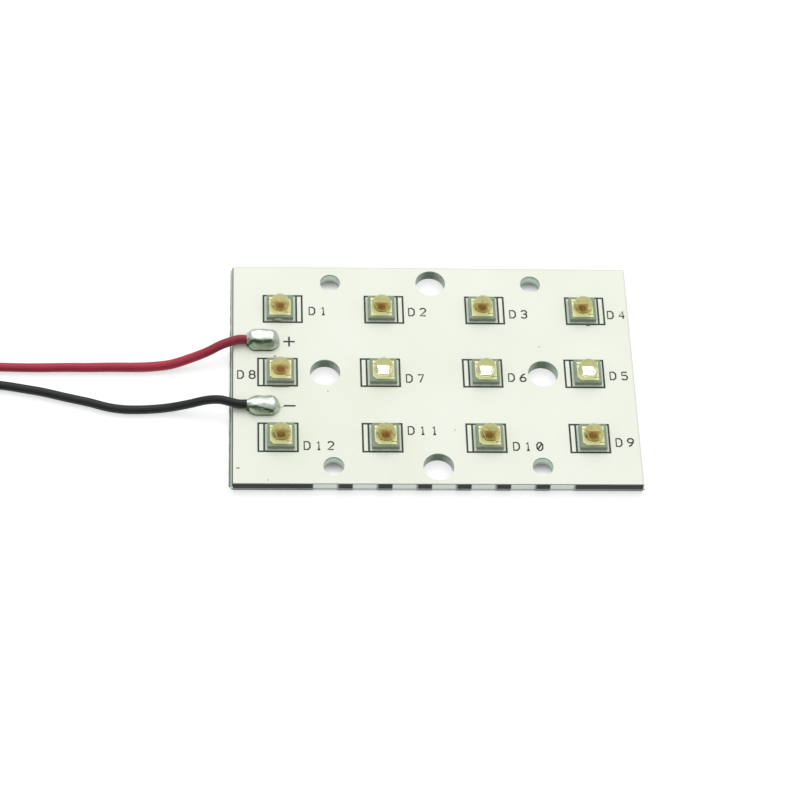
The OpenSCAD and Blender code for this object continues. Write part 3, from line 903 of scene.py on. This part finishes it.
def mound_finish(name, edge=NO_SHADE, fall=0.0):
    """Bright solder with painted shade, greyer, in front of a line, which lies at y = edge and falls along
    x.
    """
    made, tree, shader = finish(name, BRIGHT_TIN, 1.0, 0.32)
    place = on_piece(tree)
    xyz = split(tree, place)
    ripple = grains(tree, place, 700.0, 1.0)
    grain = grains(tree, place, 2600.0)
    along = calc(tree, "SUBTRACT", xyz["X"], JOINT_LEFT)
    line = calc(tree, "ADD", calc(tree, "MULTIPLY", along, fall), edge)
    behind = calc(tree, "SUBTRACT", xyz["Y"], line)
    for unevenness, width in ((ripple, SHADE_WAVE), (grain, SHADE_FRAY)):
        shift = calc(tree, "MULTIPLY", calc(tree, "SUBTRACT", unevenness, 0.5), width)
        behind = calc(tree, "ADD", behind, shift)
    # Painted shade in front of the line: a greyer slope, a dark band below the bright top and a dark foot
    front = spread(tree, behind, *SHADE_EDGE, 1.0, 0.0)
    band = spread(tree, behind, *SHADE_BAND)
    above = calc(tree, "SUBTRACT", xyz["Z"], MASK_TOP)
    foot = spread(tree, above, *FOOT_SHADE, 1.0, 0.0)
    cap = spread(tree, along, *CAP_FADE, 1.0, 0.25)
    painted_shade = blend(tree, calc(tree, "MAXIMUM", band, foot), SHADED, BAND)
    colour = blend(tree, calc(tree, "MULTIPLY", front, cap), BRIGHT_TIN, painted_shade)
    tree.links.new(colour, shader.inputs["Base Color"])
    tree.links.new(spread(tree, grain, 0.35, 0.65, 0.24, 0.5), shader.inputs["Roughness"])
    height = calc(tree, "ADD", ripple, calc(tree, "MULTIPLY", grain, FINE_SHARE))
    bump(tree, shader, height, SOLDER_DEPTH)
    return made


def ease(share):
    """Goes from 0 to 1 with a soft start and end."""
    share = min(max(share, 0.0), 1.0)
    return share * share * (3 - 2 * share)


def mound(low, high, lean, slope):
    """A loaf of solder lofted from arches, from the lead's end on the left to its round right end."""
    bm = bmesh.new()
    length = high.x - low.x
    half = (high.y - low.y) / 2 + OVERLAP
    peak = high.z - MASK_TOP
    middle = (low.y + high.y) / 2
    arches = []
    for station in range(STATIONS):
        x = length * (1 - cos(pi * (station + 0.5) / STATIONS)) / 2
        plan = (half ** 2 - max(0.0, half - x, x - length + half) ** 2) ** 0.5
        wide = max(plan, LEAD_HALF) if x < half else plan
        rise = LEAD_TOP + (peak - LEAD_TOP) * ease(x / RISE_RUN)
        past = max(0.0, (x - length + FALL_RUN) / FALL_RUN)
        rise *= (1 - past ** FALL_ROUNDNESS[0]) ** FALL_ROUNDNESS[1]
        arch = []
        for step in range(ARCH_STEPS + 1):
            angle = pi * step / ARCH_STEPS
            reach = abs(cos(angle)) ** ARCH_FULLNESS * (1 if angle < pi / 2 else -1)
            up = max(sin(angle), 0.0) ** slope
            y = middle + wide * reach + lean * up
            arch.append(bm.verts.new((low.x + x, y, MASK_TOP - SUNK + (rise + SUNK) * up)))
        arches.append(arch)
    for near, far in zip(arches, arches[1:]):
        for k in range(ARCH_STEPS):
            bm.faces.new((near[k], near[k + 1], far[k + 1], far[k])).smooth = True
        bm.faces.new((near[-1], near[0], far[0], far[-1]))
    bm.faces.new(arches[0])
    bm.faces.new(arches[-1])
    bmesh.ops.recalc_face_normals(bm, faces=bm.faces)
    bm.normal_update()
    for vertex in bm.verts:
        lump = noise.noise(vertex.co / LUMP_RUN) + FINE_SHARE * noise.noise(vertex.co / FINE_RUN)
        vertex.co += vertex.normal * LUMP_H * lump
    return bm


for name, lean, slope, edge, fall in (
    ("positive_joint", 0.2 * MM, 0.62, -0.42 * MM, 0.0),
    ("negative_joint", 0.0, 0.85, -0.4 * MM, -0.17),
):
    low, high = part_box(name)
    heap = mesh_object(name.replace("joint", "mound"), mound(low, high, lean, slope))
    paint(heap, mound_finish(name.replace("joint", "solder"), (low.y + high.y) / 2 + edge, fall))
    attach(heap, "root")
    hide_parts(name)


# Leads: stranded copper in soft insulation, one red and one black. Each drops from its joint to the table
# and runs off to the left, where its spare length lies in a tied coil with a tinned end.
# The routes and the coils are in millimetres; a route's points start from the board's left end.
LEAD_R = 0.5 * MM
LEAD_LENGTH = 200 * MM
LEAD_SIDES = 20
LEAD_REST = LEAD_R / MM
EXIT_X = -21.0
EXIT_Z = 2.1
EXIT_RUN = 0.9
LEFT_END = -22.5
ROUTE_STEPS = 4
DARKER_FROM = -28 * MM
DARKER_TO = -23 * MM
DARKER_BY = 0.3
SWELL = 0.1
SWELL_X = -32 * MM
SWELL_RUN = 14 * MM
SCUFF_DEPTH = 0.012 * MM
TIP_LENGTH = 5 * MM
STRAND_R = 0.08 * MM
STRAND_RING = 0.15 * MM
STRAND_TURNS = 1.5
STRAND_SIDES = 8
OUTER_STRANDS = 6
POSITIVE_ROUTE = [
    (-0.4, 3.62, 1.6), (-1.5, 3.18, 1.5), (-3, 2.52, 1.1), (-5, 1.92, 0.6), (-7, 1.43, 0.2),
    (-9, 1.25, 0), (-11, 1.15, 0), (-13.5, 1.15, 0), (-16, 1.1, 0), (-18.5, 1.1, 0),
    (-21, 1.05, 0), (-23.5, 1.05, 0), (-26, 1.1, 0), (-28.5, 1.1, 0), (-30.5, 1.1, 0),
]
NEGATIVE_ROUTE = [
    (-0.4, -4.34, 1.6), (-1.5, -4.06, 1.6), (-3, -3.96, 1.3), (-5, -4.12, 0.7), (-7, -4.24, 0.2),
    (-9, -4.36, 0), (-11, -4.44, 0), (-12.5, -4.36, 0), (-14, -4.08, 0), (-16, -3.48, 0),
    (-18.5, -2.86, 0), (-21, -2.2, 0), (-23, -1.8, 0), (-25.5, -1.35, 0), (-28, -1.1, 0),
    (-30.5, -1.1, 0),
]
COIL_X = -56.564
COIL_SIDE = 7.1
COIL_OUTER = 6.0
COIL_INNER = 5.0
QUARTER_STEPS = 12
# Quarter turns of a coil: the radius and layer at the end of each
COIL_QUARTERS = (
    [(COIL_OUTER, 0)] * 3 + [(COIL_INNER, 0)] * 3
    + [(COIL_INNER, 1)] * 3 + [(COIL_OUTER, 1)] * 3
    + [(COIL_OUTER, 2)] * 3 + [(COIL_INNER, 2)] * 5
)
TIE_ANGLE = 2.3
TIE_WIDTH = 1.0
TIE_THICK = 0.14
TIE_CORNER = 0.6
TIE_CORNER_STEPS = 4
TIE_LOW = 0.05
TIE_HIGH = 3.05
TIE_NEAR = COIL_INNER - 0.53
TIE_FAR = COIL_OUTER + 0.53
TIE_HEAD = (0.8, 1.5, 1.2)
TIE_HEAD_Z = 1.5
RED = (srgb(163, 38, 58), srgb(190, 54, 77))
BLACK = (srgb(21, 27, 26), srgb(35, 42, 40))
TINNED = srgb(206, 208, 204)
NYLON = (srgb(214, 214, 206), srgb(236, 236, 230))


def smooth(points, steps):
    """Points along a Catmull-Rom curve through the given ones."""
    run = [points[0] * 2 - points[1], *points, points[-1] * 2 - points[-2]]
    line = []
    for a, b, c, d in zip(run, run[1:], run[2:], run[3:]):
        for step in range(steps):
            t = step / steps
            line.append(0.5 * (2 * b + (c - a) * t + (2 * a - 5 * b + 4 * c - d) * t * t
                               + (3 * b - a - 3 * c + d) * t ** 3))
    return [*line, points[-1]]


def lead_line(exit_at, route, side):
    """The lead's middle line in metres, from its joint through its coil."""
    run = [Vector(exit_at), Vector(exit_at) - Vector((EXIT_RUN, 0, 0))]
    run += [Vector((LEFT_END + x, y, z + LEAD_REST)) for x, y, z in route]
    line = smooth(run, ROUTE_STEPS)
    radius, layer = COIL_OUTER, 0
    for quarter, (next_radius, next_layer) in enumerate(COIL_QUARTERS):
        for step in range(QUARTER_STEPS):
            share = step / QUARTER_STEPS
            angle = -pi / 2 - (quarter + share) * pi / 2
            r = radius + (next_radius - radius) * ease(share)
            z = LEAD_REST + layer + (next_layer - layer) * ease(share)
            line.append(Vector((COIL_X + r * cos(angle), side * (COIL_SIDE + r * sin(angle)), z)))
        radius, layer = next_radius, next_layer
    line = [point * MM for point in line]
    return line[:1] + [far for near, far in zip(line, line[1:]) if (far - near).length > HAIR]


def cut(line, length):
    """The first length of a line, and the rest of it."""
    run = 0.0
    for place, (near, far) in enumerate(zip(line, line[1:]), 1):
        step = (far - near).length
        if run + step >= length:
            end = near.lerp(far, (length - run) / step)
            return [*line[:place], end], [end, *line[place:]]
        run += step


def red_radius(point):
    """The red lead is a little thicker than the black one where it comes down on the table."""
    return LEAD_R * (1 + SWELL * max(0.0, 1 - abs(point.x - SWELL_X) / SWELL_RUN))


def insulation(name, deep, light):
    """Soft plastic with a fine scuff, darker over its last few millimetres towards the board."""
    made, tree, shader = finish(name, light, 0.0, 0.38)
    place = on_piece(tree)
    haze = grains(tree, place, 700.0, 3.0)
    darker_end = spread(tree, split(tree, place)["X"], DARKER_FROM, DARKER_TO, 0.0, 0.5)
    darkened = [channel * DARKER_BY for channel in deep]
    colour = blend(tree, darker_end, blend(tree, haze, deep, light), darkened)
    tree.links.new(colour, shader.inputs["Base Color"])
    tree.links.new(swing(tree, haze, 0.32, 0.46), shader.inputs["Roughness"])
    shader.inputs["Specular IOR Level"].default_value = 0.35
    bump(tree, shader, grains(tree, place, 2400.0, 3.0), SCUFF_DEPTH)
    return made


def strands(line):
    """Seven strands, six of them twisted round the first."""
    made = [tube(line, STRAND_R, STRAND_SIDES)]
    for strand in range(OUTER_STRANDS):
        path = []
        for place, point in enumerate(line):
            ahead = (line[min(place + 1, len(line) - 1)] - line[max(place - 1, 0)]).normalized()
            side = ahead.cross(Vector((0, 0, 1))).normalized()
            angle = 2 * pi * (STRAND_TURNS * place / (len(line) - 1) + strand / OUTER_STRANDS)
            path.append(point + STRAND_RING * (cos(angle) * side + sin(angle) * ahead.cross(side)))
        made.append(tube(path, STRAND_R, STRAND_SIDES))
    return made


def tie(side):
    """A narrow strap round the coil's turns, with a head on its outer side."""
    bm = bmesh.new()
    middle = Vector((COIL_X, side * COIL_SIDE, 0))
    outward = Vector((cos(TIE_ANGLE), side * sin(TIE_ANGLE), 0))
    sideways = Vector((-outward.y, outward.x, 0))
    corners = ((TIE_FAR, TIE_HIGH), (TIE_NEAR, TIE_HIGH), (TIE_NEAR, TIE_LOW), (TIE_FAR, TIE_LOW))
    loops = []
    for quarter, (r, z) in enumerate(corners):
        inward_r = -1 if r == TIE_FAR else 1
        inward_z = -1 if z == TIE_HIGH else 1
        for step in range(TIE_CORNER_STEPS + 1):
            angle = (quarter + step / TIE_CORNER_STEPS) * pi / 2
            ring = []
            for grow, shift in ((0, -1), (1, -1), (1, 1), (0, 1)):
                size = TIE_CORNER + grow * TIE_THICK
                out = r + inward_r * TIE_CORNER + size * cos(angle)
                up = max(z + inward_z * TIE_CORNER + size * sin(angle), 0.0)
                place = middle + outward * out + Vector((0, 0, up)) + sideways * shift * TIE_WIDTH / 2
                ring.append(bm.verts.new(place * MM))
            loops.append(ring)
    for low, high in zip(loops, loops[1:] + loops[:1]):
        for k in range(4):
            n = (k + 1) % 4
            bm.faces.new((low[k], low[n], high[n], high[k]))
    depth, width, height = TIE_HEAD
    head = bmesh.ops.create_cube(bm, size=1.0)["verts"]
    for vertex in head:
        a, b, c = vertex.co
        place = middle + outward * (TIE_FAR + depth / 2 + a * depth) + sideways * b * width
        vertex.co = (place + Vector((0, 0, TIE_HEAD_Z + c * height))) * MM
    bmesh.ops.recalc_face_normals(bm, faces=bm.faces)
    return bm


tinned_finish, tree, shader = finish("tinned_copper", TINNED, 1.0, 0.3)
drag = grains(tree, on_piece(tree), 5000.0)
tree.links.new(swing(tree, drag, 0.22, 0.4), shader.inputs["Roughness"])
nylon_finish, tree, shader = finish("milky_nylon", srgb(226, 226, 218), 0.0, 0.45)
haze = grains(tree, on_piece(tree), 900.0)
tree.links.new(blend(tree, haze, *NYLON), shader.inputs["Base Color"])
for name, route, side, shades, radius, slot in (
    ("positive", POSITIVE_ROUTE, 1, RED, red_radius, "red_insulation"),
    ("negative", NEGATIVE_ROUTE, -1, BLACK, LEAD_R, "black_insulation"),
):
    joint_low, joint_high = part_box(f"{name}_joint")
    exit_at = (EXIT_X, (joint_low.y + joint_high.y) / 2 / MM, EXIT_Z)
    line = lead_line(exit_at, route, side)
    if callable(radius):
        line = [point + Vector((0, 0, radius(point) - LEAD_R)) for point in line]
    line, spare = cut(line, LEAD_LENGTH)
    tip = mesh_object(f"{name}_tip", *strands(cut(spare, TIP_LENGTH)[0]))
    paint(tip, tinned_finish)
    strap = mesh_object(f"{name}_tie", tie(side))
    paint(strap, nylon_finish)
    for piece in (tip, strap):
        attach(piece, "root")
    lead = mesh_object(f"{name}_cord", tube(line, radius, LEAD_SIDES))
    paint(lead, insulation(f"{name}_insulation", *shades))
    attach(lead, "root")
    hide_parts(f"{name}_lead", f"{name}_coil")


# Traces of soldering and handling: a splash of solder on the first LED's front, dried flux
# at three frames, a whisker at the black lead's joint and a few specks of dirt.
# Each drop has its middle and its sizes along x, y and z, in millimetres.
SPLASH_DROPS = [((-17.42, 6.99, 1.74), (1.0, 0.3, 0.34))]
FLUX_DROPS = [
    ((-17.81, 6.8, 1.52), (0.75, 0.26, 0.08)), ((-17.25, -1.9, 1.52), (2.1, 0.22, 0.06)),
    ((17.82, 6.62, 1.52), (0.5, 0.24, 0.07)),
]
SPECK_SIZE = (0.16, 0.14, 0.03)
DIRT_DROPS = [
    ((-21.96, -12.5, 1.505), (0.42, 0.2, 0.03)), ((-18.7, -14.0, 1.505), SPECK_SIZE),
    ((-17.84, 2.12, 1.505), (0.34, 0.2, 0.03)), ((-11.98, -2.48, 1.505), SPECK_SIZE),
    ((12.02, 3.59, 1.505), SPECK_SIZE), ((1.99, -7.51, 1.505), SPECK_SIZE),
]
DROP_SWELL = 0.25
DROP_LUMPS = 2.5
WHISKER = [(-17.36, -4.7, 1.54), (-17.15, -4.62, 1.53), (-16.92, -4.5, 1.53)]
WHISKER_R = 0.03 * MM
WHISKER_SIDES = 8
FLUX = (srgb(64, 76, 52), srgb(112, 118, 80))
DIRT = (srgb(132, 120, 92), srgb(176, 168, 140))


def drop(middle, size):
    """A flattened round drop with an uneven outline."""
    bm = bmesh.new()
    bmesh.ops.create_icosphere(bm, subdivisions=3, radius=0.5)
    for vertex in bm.verts:
        swell = 1 + DROP_SWELL * noise.noise(vertex.co * DROP_LUMPS + Vector(middle))
        vertex.co = Vector(middle) * MM + Vector([a * b * swell for a, b in zip(vertex.co, size)]) * MM
    for face in bm.faces:
        face.smooth = True
    return bm


flux_finish, tree, shader = finish("dried_flux", srgb(66, 78, 52), 0.0, 0.35)
amber = grains(tree, on_piece(tree), 4000.0)
tree.links.new(blend(tree, amber, *FLUX), shader.inputs["Base Color"])
dirt_finish, tree, shader = finish("dirt", srgb(150, 138, 110), 0.0, 0.8)
grit = grains(tree, on_piece(tree), 9000.0)
tree.links.new(blend(tree, grit, *DIRT), shader.inputs["Base Color"])
splash_finish = mound_finish("splashed_solder")
for name, drops, coat in (
    ("solder_splash", SPLASH_DROPS, splash_finish),
    ("dried_flux", FLUX_DROPS, flux_finish),
    ("dirt_specks", DIRT_DROPS, dirt_finish),
):
    trace = mesh_object(name, *[drop(*item) for item in drops])
    paint(trace, coat)
    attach(trace, "root")
whisker_path = [Vector(point) * MM for point in WHISKER]
whisker = mesh_object("solder_whisker", tube(whisker_path, WHISKER_R, WHISKER_SIDES))
paint(whisker, splash_finish)
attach(whisker, "root")
